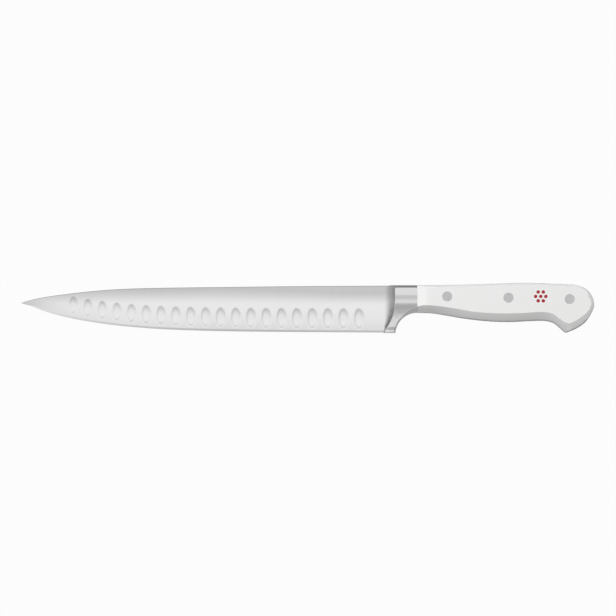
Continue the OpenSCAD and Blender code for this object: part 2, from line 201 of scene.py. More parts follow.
# The belly of the handle, then its back: shares of the handle's length and height, and the
# step in to the flat face in shares of the bevel's width
BELLY_SHARES = [
    (0, 0.399, 0, 0.95), (0.083, 0.388, 0, 0.95), (0.158, 0.35, 0.08, 0.98),
    (0.234, 0.302, 0.1, 1), (0.31, 0.264, 0.09, 0.95), (0.385, 0.237, 0.06, 0.98),
    (0.46, 0.22, 0.02, 1.01), (0.535, 0.218, 0, 1.02), (0.611, 0.232, -0.04, 1.0),
    (0.686, 0.242, 0, 1.05), (0.732, 0.234, 0.02, 1.06), (0.77, 0.198, -0.02, 1.04),
    (0.8, 0.119, -0.01, 1.05), (0.822, 0.05, 0.08, 1.08), (0.837, 0.01, 0.18, 1.12),
    (0.853, 0.02, 0.22, 1.05), (0.898, 0.085, -0.1, 0.96), (0.944, 0.192, -0.24, 0.86),
    (0.974, 0.322, -0.33, 0.57), (0.996, 0.481, -0.39, 0.24),
]
BACK_SHARES = [
    (1, 0.589, -1.8, 0.33), (0.99, 0.717, -1.8, -0.35), (0.971, 0.824, -1.2, -0.6),
    (0.941, 0.902, -0.62, -0.83), (0.904, 0.948, -0.33, -0.92), (0.86, 0.964, -0.17, -0.92),
    (0.763, 0.98, 0, -1), (0.65, 0.994, 0, -1), (0.56, 0.993, 0, -1), (0.458, 0.981, 0, -1),
    (0.385, 0.972, 0, -1), (0.31, 0.963, 0, -1), (0.158, 0.953, 0, -1),
    (0.083, 0.951, 0, -1), (0, 0.949, 0, -1.08),
]

SCALE_U = SCALE_X - TIP_X
HANDLE_L = BUTT_X - SCALE_X
CREST_U = BLADE_L + CREST_GAP
BOLSTER_H = BACK_SHARES[-1][1] * HANDLE_H
BOLSTER_T = 2 * (SIDE_Z - MID_Z)
FINGER_V = BELLY_SHARES[0][1] * HANDLE_H - FINGER_R
FLARE_U = CREST_U - FLARE_L
FLANK_RISE = (SPINE_T - EDGE_T) / 2 / (SPINE_H - BEVEL_W)
FLANK_RUN = TAPER_T / 2 / BLADE_L


class BladeSizes(bpy.types.PropertyGroup):
    """Sizes and finish of the steel."""
    hollow_count: IntProperty(
        name="Hollows", description="Hollows ground into each side of the blade", default=20, min=4, max=24)
    hollow_depth: FloatProperty(
        name="Hollow depth", description="Depth of a hollow at the heel", default=0.25 * MM,
        subtype="DISTANCE", unit="LENGTH", precision=5)
    shoulder: FloatProperty(
        name="Shoulder", description="Share of the fall from spine to edge that the shoulder takes",
        default=0.88, min=0, max=0.95, subtype="FACTOR")
    shoulder_width: FloatProperty(
        name="Shoulder width", description="Share of the blade's height over which the shoulder falls away",
        default=0.4, min=0.05, max=0.8, subtype="FACTOR")
    tip_thinning: FloatProperty(
        name="Tip thinning", description="How much thinner the very tip is, on each side", default=0.24 * MM,
        subtype="DISTANCE", unit="LENGTH", precision=5)
    edge_taper: FloatProperty(
        name="Edge taper", description="Share of the flanks' taper by which the edge is thinner at the tip",
        default=0.8, min=0, max=1, subtype="FACTOR")
    edge_belly: FloatProperty(
        name="Edge belly", description="How far each flank swells above the cutting bevel",
        default=0.25 * MM, subtype="DISTANCE", unit="LENGTH", precision=5)
    spine_chamfer: FloatProperty(
        name="Spine chamfer", description="Width of the chamfer along the edges of the spine",
        default=0.25 * MM, subtype="DISTANCE", unit="LENGTH", precision=5)
    steel: FloatVectorProperty(
        name="Steel", description="Colour of the bare steel", subtype="COLOR",
        default=(0.8, 0.8, 0.805), min=0, max=1)
    grind_roughness: FloatProperty(
        name="Grind roughness", description="Roughness of the ground blade",
        default=0.15, min=0, max=1, subtype="FACTOR")
    polish_roughness: FloatProperty(
        name="Polish roughness", description="Roughness of the polished bolster",
        default=0.08, min=0, max=1, subtype="FACTOR")


class HandleSizes(bpy.types.PropertyGroup):
    """Sizes and finish of the handle."""
    edge_round: FloatProperty(
        name="Edge rounding", description="Rounding where a bevel meets the side of a scale",
        default=1.2 * MM, subtype="DISTANCE", unit="LENGTH", precision=5)
    crease_round: FloatProperty(
        name="Crease rounding", description="Rounding where a bevel meets the flat face", default=0.2 * MM,
        subtype="DISTANCE", unit="LENGTH", precision=5)
    scale_color: FloatVectorProperty(
        name="Scales", description="Colour of the white scales", subtype="COLOR",
        default=(0.82, 0.82, 0.815), min=0, max=1)
    rivet_color: FloatVectorProperty(
        name="Rivets", description="Colour of the rivet heads", subtype="COLOR",
        default=(0.79, 0.79, 0.8), min=0, max=1)
    dot_color: FloatVectorProperty(
        name="Dots", description="Colour of the rosette's dots", subtype="COLOR",
        default=(0.36, 0.02, 0.025), min=0, max=1)


class StudioSizes(bpy.types.PropertyGroup):
    """Light and camera."""
    key_energy: FloatProperty(
        name="Key", description="Power of the soft lamp over the knife", default=22.3, min=0, unit="POWER")
    sky_strength: FloatProperty(
        name="Sky", description="Strength of the light from all round", default=0.36, min=0)
    lens: FloatProperty(
        name="Lens", description="Focal length of the camera", default=300, min=10, unit="CAMERA")


def sizes():
    scene = bpy.context.scene
    return scene.knife_blade, scene.knife_handle, scene.knife_studio


def curve_point(a, b, c, d, t):
    """One number on a smooth curve through four numbers, between the second and the third."""
    return (2 * b + (c - a) * t + (2 * a - 5 * b + 4 * c - d) * t ** 2
            + (3 * b - a - 3 * c + d) * t ** 3) / 2


def curve(points, steps):
    """An open smooth curve through a list of points of any size."""
    last = len(points) - 1
    line = []
    for i in range(last):
        four = [points[max(i - 1, 0)], points[i], points[i + 1], points[min(i + 2, last)]]
        for k in range(steps):
            line.append(tuple(curve_point(*n, k / steps) for n in zip(*four)))
    line.append(tuple(points[last]))
    return line


def lookup(line, u):
    """Height of a line at a place along it."""
    for (u0, v0), (u1, v1) in zip(line, line[1:]):
        if u <= u1:
            return v0 + (v1 - v0) * max(u - u0, 0) / (u1 - u0)
    return line[-1][1]


SPINE_LINE = curve([(s * BLADE_L, TIP_H + r * (SPINE_H - TIP_H)) for s, r in SPINE_SHARES], SIDE_STEPS)
EDGE_LINE = curve([(s * BLADE_L, r * TIP_H) for s, r in EDGE_SHARES], SIDE_STEPS)
CREST_LINE = curve([(s * BOLSTER_H, r * FLARE_L) for s, r in CREST_SHARES], BOLSTER_STEPS)
CROWN_LINE = curve([(s * BOLSTER_H, r * BOLSTER_T / 2) for s, r in CROWN_SHARES], BOLSTER_STEPS)


def handle_line():
    """Outline of the handle from the bolster round the butt, with the step in to the flat face."""
    rows = [(u, v, a * BELLY_BEVEL_W, b * BELLY_BEVEL_W) for u, v, a, b in BELLY_SHARES]
    rows += [(u, v, a * BACK_BEVEL_W, b * BACK_BEVEL_W) for u, v, a, b in BACK_SHARES]
    line = curve([(SCALE_U + u * HANDLE_L, v * HANDLE_H, a, b) for u, v, a, b in rows], HANDLE_STEPS)
    return [(min(u, REACH), v, a, b) for u, v, a, b in line]


def blend_max(a, b, k):
    """The larger of two heights, with a fillet of about k between them."""
    if abs(a - b) >= 8 * k:
        return max(a, b)
    return (a + b + math.sqrt((a - b) ** 2 + k * k)) / 2


def blend_min(a, b, k):
    """The smaller of two heights, with a round of about k between them."""
    return -blend_max(-a, -b, k)


def ramp(x, start, run):
    """0 before start, then evenly up to 1."""
    return min(max(x - start, 0) / run, 1)


def ease(t):
    """A smooth step from 0 to 1."""
    return t * t * (3 - 2 * t)


def round_off(w, d, r):
    """Half thickness w at distance d from a sharp corner that is rounded to radius r."""
    return w - (r - math.sqrt(r * r - (r - max(d, 0)) ** 2)) if d < r else w


def hollow_list(side):
    """Centre, half width, half height and depth of each hollow on one side."""
    blade = bpy.context.scene.knife_blade
    span = BLADE_L - HOLLOW_TIP_GAP - HOLLOW_HEEL_GAP
    pitch = span / (blade.hollow_count - 1)
    rows = []
    for i in range(blade.hollow_count):
        t = i / (blade.hollow_count - 1)
        share = 1 - HOLLOW_LOSS * (1 - t) ** 2
        u = HOLLOW_TIP_GAP + span * (t - HOLLOW_PITCH * t * (1 - t)) - (pitch / 2 if side < 0 else 0)
        v = lookup(EDGE_LINE, u) + HOLLOW_GAP + HOLLOW_H / 2
        size = math.sqrt(share)
        rows.append((u, v, size * HOLLOW_W / 2, size * HOLLOW_H / 2, share * blade.hollow_depth))
    return rows


def lower_v(u):
    """Lower outline of blade, heel guard and finger grip."""
    guard_u = SCALE_U - math.sqrt(FINGER_R ** 2 - FINGER_V ** 2)
    if u > guard_u:
        return FINGER_V + math.sqrt(max(FINGER_R ** 2 - (u - SCALE_U) ** 2, 0))
    ahead = max(0, min(1, (FLARE_U - u) / GUARD_L + 0.5))
    return lookup(EDGE_LINE, u) * ease(ahead)


def upper_v(u):
    """Upper outline: spine, then the top of the bolster."""
    rise = ramp(u, BLADE_L - BOLSTER_RISE_GAP, BOLSTER_RISE_L)
    return lookup(SPINE_LINE, u) + (BOLSTER_H - SPINE_H) * ease(rise)


def crown_w(v):
    """Half thickness of the bolster at a height."""
    return min(lookup(CROWN_LINE, v), BOLSTER_T / 2 + BOLSTER_H - BOLSTER_CHAMFER - v)


def flare_rise(u, v):
    """Rise of the hollow flare above the blade's flank, on its way up to the crest."""
    x = max(u - FLARE_U, 0) / lookup(CREST_LINE, v)
    side = lookup(CROWN_LINE, v) - flank_w(FLARE_U, v)
    if x < FLARE_STEEP:
        return side * (1 - math.sqrt(1 - x * x))
    foot = math.sqrt(1 - FLARE_STEEP ** 2)
    return side * (1 - foot + (x - FLARE_STEEP) * FLARE_STEEP / foot)


def finger_grip(u, v):
    """Distance from the finger grip's arc."""
    return math.hypot(u - SCALE_U, v - FINGER_V) - FINGER_R


def finger_bevel_w(u, v):
    """Half thickness where the belly bevel of the scales is carried on round the finger grip."""
    base = FINGER_BEVEL_W + FINGER_BEVEL_RISE * (SCALE_U - u)
    return base + (BEVEL_DROP + FRONT_STEEP) * finger_grip(u, v)


def narrowing(height):
    """How much narrower bevel and roundings are where the blade runs out to its tip."""
    return min(1, height / NARROW_H)


def flank_w(u, v):
    """Half thickness of the ground blade: a falling shoulder, an even flank and the cutting bevel."""
    blade = bpy.context.scene.knife_blade
    u = min(u, BLADE_L)
    low, high = lookup(EDGE_LINE, u), lookup(SPINE_LINE, u)
    height = max(high - low, LEAST_H)
    bevel = BEVEL_W * narrowing(height)
    spine_w = EDGE_T / 2 + FLANK_RISE * (high - BEVEL_W) - FLANK_RUN * (BLADE_L - u)
    thin = TIP_THIN_SHARE * (1 - u / BLADE_L) ** TIP_THIN_POWER + math.exp(-u / TIP_THIN_L)
    spine_w -= blade.tip_thinning * thin
    edge_w = EDGE_T / 2 - blade.edge_taper * FLANK_RUN * (BLADE_L - u)
    if v <= low + bevel:
        return EDGE_FLAT_T / 2 + max(v - low, 0) * (edge_w - EDGE_FLAT_T / 2) / bevel
    down, run = high - v, height - bevel
    ahead = ramp(u, SHOULDER_U, SHOULDER_L)
    heel = ramp(u, HEEL_U, HEEL_L)
    share = blade.shoulder * ahead * (2 - ahead) + HEEL_SHARE * heel
    straight = HEEL_STRAIGHT * heel
    place = min(down / ((blade.shoulder_width + HEEL_WIDTH * heel) * height), 1)
    bend = max(place - straight, 0)
    shoulder = (place - bend * bend / (2 * (1 - straight))) / ((1 + straight) / 2)
    rise = min((run - down) / (BELLY_RISE * height), 1)
    belly = blade.edge_belly * ramp(u, BELLY_U, BELLY_L) * rise * (2 - rise)
    return edge_w + belly + (spine_w - edge_w - belly) * (1 - share * shoulder - (1 - share) * down / run)


def steel_w(u, v, low, high, hollows):
    """Half thickness of blade and bolster at a place in the side view, less the hollows there."""
    blade = bpy.context.scene.knife_blade
    w = flank_w(u, v)
    for cu, cv, a, b, depth in hollows:
        if abs(v - cv) < HOLLOW_REACH * b:
            x = (u - cu) / a
            lean = HOLLOW_LEAN * (1 - x * x)
            cut = depth * (1 - math.hypot(x + lean, (v - cv) / b) ** HOLLOW_POWER)
            w -= blend_max(cut, 0, HOLLOW_RIM) if cut > -HOLLOW_RIM_REACH else 0
    w -= SPINE_FALL * max(blade.spine_chamfer * narrowing(high - low) - (high - v), 0)
    if u > FLARE_U:
        bolster = blend_min(crown_w(v), finger_bevel_w(u, v), CROWN_ROUND)
        bolster = blend_min(bolster, w + flare_rise(u, v), FLARE_FILLET)
        bolster = round_off(bolster, high - v, TOP_ROUND)
        bolster = round_off(bolster, v - low, FOOT_ROUND)
        bolster = round_off(bolster, finger_grip(u, v), GRIP_ROUND)
        w = max(w, bolster)
    return max(w, EDGE_FLAT_T / 2)


def select_none():
    if bpy.context.object and bpy.context.object.mode != "OBJECT":
        bpy.ops.object.mode_set(mode="OBJECT")
    bpy.ops.object.select_all(action="DESELECT")


def pick(piece, *others):
    """Selects these objects, with the first one active."""
    select_none()
    for o in (piece, *others):
        o.select_set(True)
    bpy.context.view_layer.objects.active = piece


def lay(u, v, w):
    """A place on the knife, from tip, guard foot and middle plane, in the frame."""
    return Vector((TIP_X + u, FOOT_Y + v, MID_Z + w))


def edit_all():
    """Goes into edit mode with the whole mesh selected."""
    bpy.ops.object.mode_set(mode="EDIT")
    bpy.ops.mesh.select_all(action="SELECT")


def face_outwards():
    """Turns all faces outwards and leaves edit mode."""
    bpy.ops.mesh.select_all(action="SELECT")
    bpy.ops.mesh.normals_make_consistent(inside=False)
    bpy.ops.object.mode_set(mode="OBJECT")


def finish_shell(piece, angle):
    """Merges doubles, turns the faces outwards and shades the piece."""
    pick(piece)
    edit_all()
    bpy.ops.mesh.remove_doubles(threshold=MERGE)
    face_outwards()
    bpy.ops.object.shade_smooth_by_angle(angle=math.radians(angle))


def apply_modifiers(piece):
    pick(piece)
    for modifier in list(piece.modifiers):
        bpy.ops.object.modifier_apply(modifier=modifier.name)


def boolean(piece, cutter, operation):
    """Cuts a piece with another object and deletes that object."""
    pick(piece)
    bpy.ops.object.modifier_add(type="BOOLEAN")
    modifier = piece.modifiers[-1]
    modifier.operation = operation
    modifier.solver = "EXACT"
    modifier.object = cutter
    bpy.ops.object.modifier_apply(modifier=modifier.name)
    bpy.data.objects.remove(cutter)


def paint(piece, material):
    piece.data.materials.clear()
    piece.data.materials.append(material)


class Link:
    """A shader socket that adds Math nodes when it is used in sums."""

    def __init__(self, shader, socket):
        self.shader = shader
        self.socket = socket

    def maths(self, operation, *values):
        return self.shader.node("ShaderNodeMath", {"operation": operation}, values)

    def __add__(self, other):
        return self.maths("ADD", self, other)

    def __radd__(self, other):
        return self.maths("ADD", other, self)

    def __sub__(self, other):
        return self.maths("SUBTRACT", self, other)

    def __rsub__(self, other):
        return self.maths("SUBTRACT", other, self)

    def __mul__(self, other):
        return self.maths("MULTIPLY", self, other)

    def __rmul__(self, other):
        return self.maths("MULTIPLY", other, self)


class Shader:
    """A node tree that is filled by calls."""

    def __init__(self, tree):
        self.tree = tree
        tree.nodes.clear()

    def node(self, kind, settings=None, values=(), out=0):
        """Adds a node: first its settings, then the values or links of its sockets."""
        node = self.tree.nodes.new(kind)
        for key, value in (settings or {}).items():
            if key == "ramp":
                self.fill_ramp(node.color_ramp, value)
            else:
                setattr(node, key, value)
        items = values.items() if isinstance(values, dict) else enumerate(values)
        for key, value in items:
            if isinstance(value, Link):
                self.tree.links.new(value.socket, node.inputs[key])
            elif value is not None:
                node.inputs[key].default_value = value
        return Link(self, node.outputs[out]) if node.outputs else node

    @staticmethod
    def fill_ramp(ramp, stops):
        ramp.interpolation = "LINEAR"
        while len(ramp.elements) > 1:
            ramp.elements.remove(ramp.elements[-1])
        for i, (place, level) in enumerate(stops):
            element = ramp.elements[0] if i == 0 else ramp.elements.new(place)
            element.position = place
            element.color = (level, level, level, 1)

    def place(self, scale):
        """Object coordinates, stretched."""
        spot = self.node("ShaderNodeTexCoord", out="Object")
        return self.node("ShaderNodeMapping", {}, {"Vector": spot, "Scale": scale})

    def noise(self, scale, detail=2, roughness=0.5):
        """Noise from 0 to 1 on Object coordinates, with features of 1/scale metres on each axis."""
        return self.node(
            "ShaderNodeTexNoise", {"noise_dimensions": "3D"},
            {"Vector": self.place(scale), "Scale": 1, "Detail": detail, "Roughness": roughness})

    def along(self, axis):
        """Object coordinate along one axis, in metres."""
        spot = self.node("ShaderNodeTexCoord", out="Object")
        return self.node("ShaderNodeSeparateXYZ", {}, [spot], out=axis)

    def step(self, value, low, high):
        """0 below low, 1 above high, smooth between."""
        return self.node(
            "ShaderNodeMapRange", {"interpolation_type": "SMOOTHSTEP"},
            {"Value": value, "From Min": low, "From Max": high})

    def mix(self, factor, a, b):
        """Mixes two colours."""
        mix = self.node("ShaderNodeMix", {"data_type": "RGBA"}, {"Factor": factor}, out="Result").socket.node
        colours = [s for s in mix.inputs if s.type == "RGBA"]
        for socket, value in zip(colours, (a, b)):
            if isinstance(value, Link):
                self.tree.links.new(value.socket, socket)
            else:
                socket.default_value = (*value[:3], 1)
        return Link(self, [s for s in mix.outputs if s.type == "RGBA"][0])

    def rays(self):
        """1 for a ray from the camera, and 1 for a ray that a glossy surface sends."""
        return (self.node("ShaderNodeLightPath", out="Is Camera Ray"),
                self.node("ShaderNodeLightPath", out="Is Glossy Ray"))

    def bump(self, height, distance):
        """Relief: a bare height times a distance in metres."""
        return self.node("ShaderNodeBump", {}, {"Height": height, "Distance": distance}, out="Normal")

    def surface(self, values):
        """The Principled shader and the output."""
        shader = self.node("ShaderNodeBsdfPrincipled", {}, values)
        self.node("ShaderNodeOutputMaterial", {}, {"Surface": shader})


def new_shader(name):
    material = bpy.data.materials.new(name)
    material.use_nodes = True
    return material, Shader(material.node_tree)


def shade(colour, factor):
    """A colour made darker or lighter."""
    return tuple(min(1, c * factor) for c in colour)


def steel_material():
    """Blade steel: fine grinding lines across the blade, and a polished bolster."""
    blade = bpy.context.scene.knife_blade
    material, s = new_shader("ground_steel")
    polish = s.step(s.along("X"), TIP_X + POLISH_LOW_U, TIP_X + POLISH_HIGH_U)
    lines = s.noise((5200, 90, 90), detail=3)
    streaks = s.noise((700, 25, 25), detail=2)
    wear = s.noise((60, 90, 60), detail=4, roughness=0.6)
    ground = blade.grind_roughness + 0.04 * (lines - 0.5) + 0.03 * (streaks - 0.5)
    rough = ground * (1 - polish) + polish * (blade.polish_roughness + 0.05 * (wear - 0.5))
    satin = s.mix(0.5 * (streaks + wear), shade(blade.steel, 0.96), shade(blade.steel, 1.04))
    mirror = s.mix(wear, shade(blade.steel, 0.8), shade(blade.steel, 0.86))
    tone = s.mix(polish, satin, mirror)
    guard = 1 - s.step(s.along("Y"), FOOT_Y + GUARD_LOW_V, FOOT_Y + GUARD_HIGH_V)
    ahead = 1 - s.step(s.along("X"), SCALE_X - WAVES_LOW_GAP, SCALE_X - WAVES_HIGH_GAP)
    back, up = s.along("X") - SCALE_X, s.along("Y") - (FOOT_Y + FINGER_V)
    grip = s.step(back * back + up * up, (FINGER_R + GRIP_LOW_GAP) ** 2, (FINGER_R + GRIP_HIGH_GAP) ** 2)
    waves = s.noise((500, 260, 300), detail=2) * guard * polish * ahead * grip
    height = (lines + 0.6 * streaks) * (1 - 0.9 * polish) + WAVE_HEIGHT * waves
    s.surface({
        "Base Color": tone, "Metallic": 1, "Roughness": rough,
        "Normal": s.bump(height, FINE_RELIEF),
    })
    return material


def scale_material():
    """Smooth white plastic with a soft sheen, and a painted highlight: paler towards the front, where the
    roll down to the bolster catches the light.
    """
    handle = bpy.context.scene.knife_handle
    material, s = new_shader("white_scale")
    cloud = s.noise((120, 120, 120), detail=3)
    fine = s.noise((2600, 2600, 2600), detail=2)
    # Painted highlight: the colour is made paler near the bolster, where the front roll catches the light
    front = 1 - s.step(s.along("X"), SCALE_X + ROLL_HIGHLIGHT_LOW_GAP, SCALE_X + ROLL_HIGHLIGHT_HIGH_GAP)
    tone = s.mix(cloud, shade(handle.scale_color, 0.985), shade(handle.scale_color, 1.01))
    tone = s.mix(front, tone, shade(handle.scale_color, 1.05))
    s.surface({
        "Base Color": tone, "Roughness": 0.36 + 0.06 * cloud, "IOR": 1.48,
        "Normal": s.bump(fine, FINE_RELIEF),
    })
    return material


def rivet_material():
    """Rivet steel, ground flush along the handle."""
    handle = bpy.context.scene.knife_handle
    material, s = new_shader("rivet_head")
    lines = s.noise((200, 5000, 200), detail=2)
    cloud = s.noise((500, 500, 500), detail=2)
    tone = s.mix(cloud, shade(handle.rivet_color, 0.95), shade(handle.rivet_color, 1.04))
    s.surface({
        "Base Color": tone, "Metallic": 1, "Roughness": 0.36 + 0.1 * lines,
        "Normal": s.bump(lines, RIVET_RELIEF),
    })
    return material


def inlay_material():
    """White plastic of the inlay disc."""
    handle = bpy.context.scene.knife_handle
    material, s = new_shader("white_inlay")
    cloud = s.noise((400, 400, 400), detail=2)
    tone = s.mix(cloud, shade(handle.scale_color, 1.0), shade(handle.scale_color, 1.03))
    s.surface({"Base Color": tone, "Roughness": 0.3 + 0.05 * cloud, "IOR": 1.48})
    return material


def dot_material():
    """Red plastic of the rosette."""
    handle = bpy.context.scene.knife_handle
    material, s = new_shader("red_dot")
    cloud = s.noise((900, 900, 900), detail=2)
    tone = s.mix(cloud, shade(handle.dot_color, 0.92), shade(handle.dot_color, 1.06))
    s.surface({"Base Color": tone, "Roughness": 0.32 + 0.06 * cloud, "IOR": 1.48})
    return material


def column_places():
    """Where the blade's mesh has its columns: close at the tip, the flare and the finger grip."""
    quarter = math.pi / 2
    places = [i * i * TIP_COLUMN_L for i in range(TIP_COLUMNS)]
    while places[-1] < BLADE_L - FLARE_AHEAD:
        places.append(places[-1] + BLADE_COLUMN_L)
    while places[-1] < SCALE_U - FINGER_R - GRIP_AHEAD:
        places.append(places[-1] + FLARE_COLUMN_L)
    turns = [quarter * (k + 0.5) / GRIP_COLUMNS for k in range(GRIP_COLUMNS)]
    return places + [SCALE_U - FINGER_R * math.cos(turn) for turn in turns] + [SCALE_U]


def row_heights(height):
    """Heights of the mesh's rows above the lower outline, close at the bevel and the spine."""
    fit = narrowing(height)
    low = [d * MM * fit for d in LOW_ROWS]
    high = [height - d * MM * fit for d in HIGH_ROWS]
    run = high[0] - low[-1]
    return low + [low[-1] + run * k / MIDDLE_ROWS for k in range(1, MIDDLE_ROWS)] + high


def steel_side(side):
    """One side of blade and bolster: a grid laid over the side view and raised to its thickness."""
    places = column_places()
    rows = len(row_heights(SPINE_H))
    hollows = hollow_list(side)
    bpy.ops.mesh.primitive_grid_add(x_subdivisions=len(places) - 1, y_subdivisions=rows - 1, size=2)
    piece = bpy.context.object
    for i, u in enumerate(places):
        low, high = lower_v(u), upper_v(u)
        near = [h for h in hollows if abs(u - h[0]) < HOLLOW_REACH * h[2]]
        for j, up in enumerate(row_heights(high - low)):
            v = low + up
            w = side * steel_w(u, v, low, high, near)
            piece.data.vertices[j * len(places) + i].co = lay(u, v, w)
    return piece


class KNIFE_OT_blade(bpy.types.Operator):
    """Builds the ground blade and the bolster as one shell"""
    bl_idname = "knife.blade"
    bl_label = "Blade and bolster"

    def execute(self, context):
        select_none()
        left = steel_side(1)
        select_none()
        right = steel_side(-1)
        pick(left, right)
        bpy.ops.object.join()
        left.name = "blade_and_bolster"
        edit_all()
        bpy.ops.mesh.remove_doubles(threshold=MERGE)
        bpy.ops.mesh.select_mode(type="EDGE")
        bpy.ops.mesh.select_all(action="DESELECT")
        bpy.ops.mesh.select_non_manifold(
            extend=False, use_wire=False, use_boundary=True,
            use_multi_face=False, use_non_contiguous=False, use_verts=False)
        bpy.ops.mesh.bridge_edge_loops()
        bpy.ops.object.mode_set(mode="OBJECT")
        finish_shell(left, 40)
        paint(left, steel_material())
        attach(left, BODY)
        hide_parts("blade")
        return {"FINISHED"}


def rounded(corner, before, after, cuts, steps):
    """Points that round a corner off between two distances from it."""
    a = corner + (before - corner).normalized() * cuts[0]
    b = corner + (after - corner).normalized() * cuts[1]
    line = []
    for k in range(steps + 1):
        t = k / steps
        line.append(a * (1 - t) ** 2 + corner * 2 * t * (1 - t) + b * t * t)
    return line


def scale_section(width, drop):
    """Section through a scale's edge: how far in, and how high above the middle plane."""
    handle = bpy.context.scene.knife_handle
    top, tang = FACE_Z / 2, TANG_Z - MID_Z
    foot, wall = Vector((0, tang)), Vector((WALL_LEAN * width, top - drop * width))
    crease, face = Vector((width, top)), Vector((width + 2 * handle.crease_round, top))
    soft = min(handle.edge_round, EDGE_ROUND_SHARE * width)
    crisp = min(handle.crease_round, CREASE_ROUND_SHARE * width)
    down = min(soft, WALL_ROUND_SHARE * (wall.y - tang))
    low = rounded(wall, foot, crease, (down, soft), EDGE_STEPS)
    high = rounded(crease, wall, face, (crisp, crisp), CREASE_STEPS)
    out = Vector((-drop, 1)).normalized() * BEVEL_BULGE * drop * width
    bevel = []
    for k in range(1, BEVEL_STEPS):
        t = k / BEVEL_STEPS
        bevel.append(low[-1].lerp(high[0], t) + out * 4 * t * (1 - t))
    side = [foot + Vector((NICK, 0)), foot + Vector((0, NICK)), foot.lerp(wall, 0.5)]
    return side + low + bevel + high + [face]


def scale_shell():
    """The left scale before it is cut: rings of its outline, drawn in over the bevel."""
    line = handle_line()
    ends = [line[-1], line[0]]
    for k in range(1, FRONT_STEPS + 1):
        line.append(tuple(a + (b - a) * k / FRONT_STEPS for a, b in zip(*ends)))
    rows = []
    for u, _, a, b in line:
        width = math.hypot(a, b)
        front = math.exp(-((u - SCALE_U) / FRONT_L) ** 2) * min(width / BELLY_BEVEL_W, 1)
        butt = ramp(u, SCALE_U + BEAK_SHARE * HANDLE_L, BUTT_L)
        rows.append(scale_section(width, BEVEL_DROP + FRONT_STEEP * front - BUTT_EASE * butt))
    bpy.ops.mesh.primitive_grid_add(
        x_subdivisions=len(line) - 1, y_subdivisions=len(rows[0]) - 1, size=2)
    piece = bpy.context.object
    for i, (u, v, a, b) in enumerate(line):
        width = math.hypot(a, b)
        for j, (inward, w) in enumerate(rows[i]):
            share = inward / width
            piece.data.vertices[j * len(line) + i].co = lay(u + share * a, v + share * b, w)
    edit_all()
    bpy.ops.mesh.remove_doubles(threshold=MERGE)
    bpy.ops.mesh.fill_holes(sides=0)
    face_outwards()
    return piece


def prism(places, way):
    """A block that is drawn out of a flat outline."""
    select_none()
    bpy.ops.mesh.primitive_circle_add(vertices=len(places), radius=1, fill_type="NGON")
    piece = bpy.context.object
    for vertex, place in zip(piece.data.vertices, places):
        vertex.co = place
    edit_all()
    bpy.ops.mesh.remove_doubles(threshold=MERGE)
    bpy.ops.mesh.select_all(action="SELECT")
    bpy.ops.mesh.extrude_region_move(TRANSFORM_OT_translate={"value": way})
    face_outwards()
    return piece


def roll_cutter():
    """A block whose front falls in an arc from the flat face to the bolster's side."""
    drop = (FACE_Z - BOLSTER_T) / 2
    fall = math.atan(drop / ROLL_L) - ROLL_START
    radius = math.hypot(ROLL_L, drop) / (2 * math.sin(fall))
    u0, w0 = ROLL_L + radius * math.sin(ROLL_START), FACE_Z / 2 - radius * math.cos(ROLL_START)
    start, end = -MM, ROLL_L + ROLL_OVER
    arc = []
    for k in range(ROLL_STEPS + 1):
        u = start + (end - start) * k / ROLL_STEPS
        arc.append((u, w0 + math.sqrt(radius ** 2 - (u - u0) ** 2)))
    back = HANDLE_L + CLEAR
    section = [(start, 0), *arc, (end, FACE_Z), (back, FACE_Z), (back, 0)]
    places = [lay(SCALE_U + u, -CLEAR, w) for u, w in section]
    return prism(places, (0, HANDLE_H + 2 * CLEAR, 0))


def drill_out(piece, x, y, radius, low, high):
    """Drills a round hole in a piece, from one height to another."""
    select_none()
    bpy.ops.mesh.primitive_cylinder_add(
        vertices=DRILL_SIDES, radius=radius, depth=high - low, location=(x, y, (low + high) / 2))
    boolean(piece, bpy.context.object, "DIFFERENCE")


def round_node(name):
    """Centre, radius and lowest height of a round node."""
    low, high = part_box(name)
    return (low.x + high.x) / 2, (low.y + high.y) / 2, (high.x - low.x) / 2, low.z


def rivet_sockets():
    return [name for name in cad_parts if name.endswith("socket")]


def scale_piece(name, inlay):
    """One scale of the left side, with its rivet holes and, where it has an inlay, the seat."""
    select_none()
    piece = scale_shell()
    piece.name = name
    boolean(piece, roll_cutter(), "INTERSECT")
    for node in rivet_sockets():
        x, y, head_r, _ = round_node(node)
        drill_out(piece, x, y, head_r + FIT, FACE_Z - HEAD_L, FACE_Z + MM)
        drill_out(piece, x, y, SHANK_R + FIT, 0, FACE_Z)
    if inlay:
        x, y, radius, seat = round_node(inlay)
        drill_out(piece, x, y, radius, seat, FACE_Z + MM)
    return piece


class KNIFE_OT_tang(bpy.types.Operator):
    """Builds the tang that fills the handle's outline between the scales"""
    bl_idname = "knife.tang"
    bl_label = "Tang"

    def execute(self, context):
        half = TANG_Z - MID_Z
        front = SCALE_U + TANG_GAP
        piece = prism([lay(max(u, front), v, -half) for u, v, _, _ in handle_line()], (0, 0, 2 * half))
        piece.name = "tang"
        for node in rivet_sockets():
            x, y, _, _ = round_node(node)
            drill_out(piece, x, y, SHANK_R + FIT, 0, FACE_Z)
        finish_shell(piece, 30)
        paint(piece, bpy.data.materials["ground_steel"])
        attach(piece, BODY)
        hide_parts("blade")
        return {"FINISHED"}


